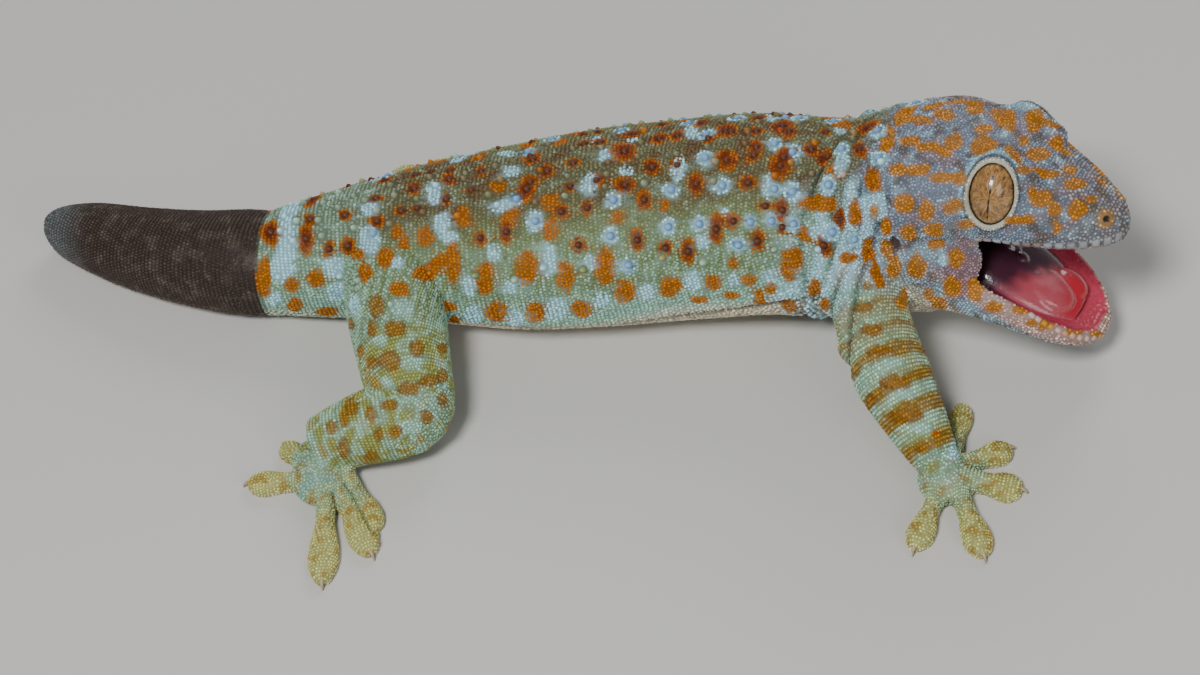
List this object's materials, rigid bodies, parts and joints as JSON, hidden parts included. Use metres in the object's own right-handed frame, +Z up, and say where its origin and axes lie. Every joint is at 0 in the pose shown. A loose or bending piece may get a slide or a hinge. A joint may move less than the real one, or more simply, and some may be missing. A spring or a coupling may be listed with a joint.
{
  "type": "tokay gecko",
  "caption": "Life-size tokay gecko standing low with its head turned, its mouth open and a short regrown tail, resting on belly, toes and tail.",
  "frame": {"origin": "on the floor where the belly rests, under the hind part of the torso", "axes": "+X along the body towards the head, +Y to the animal's left, +Z up from the floor"},
  "size_m": [0.2021, 0.1129, 0.0445],
  "materials": {
    "skin": "dry, finely granular living skin",
    "tail_grey": "dry, granular regrown skin",
    "tongue": "wet and soft",
    "eye": "wet and clear over a golden brown iris"
  },
  "bodies": {
    "root": {"head": "skin", "lower_jaw": "skin", "tongue": "tongue", "eye_right": "eye", "eye_left": "eye", "neck": "skin", "torso": "skin", "tail_base": "skin", "tail_regrown": "tail_grey", "front_right_upper_arm": "skin", "front_right_forearm": "skin", "front_right_foot": "skin", "front_left_upper_arm": "skin", "front_left_forearm": "skin", "front_left_foot": "skin", "hind_right_thigh": "skin", "hind_right_shank": "skin", "hind_right_foot": "skin", "hind_left_leg": "skin"}
  },
  "joints": []
}
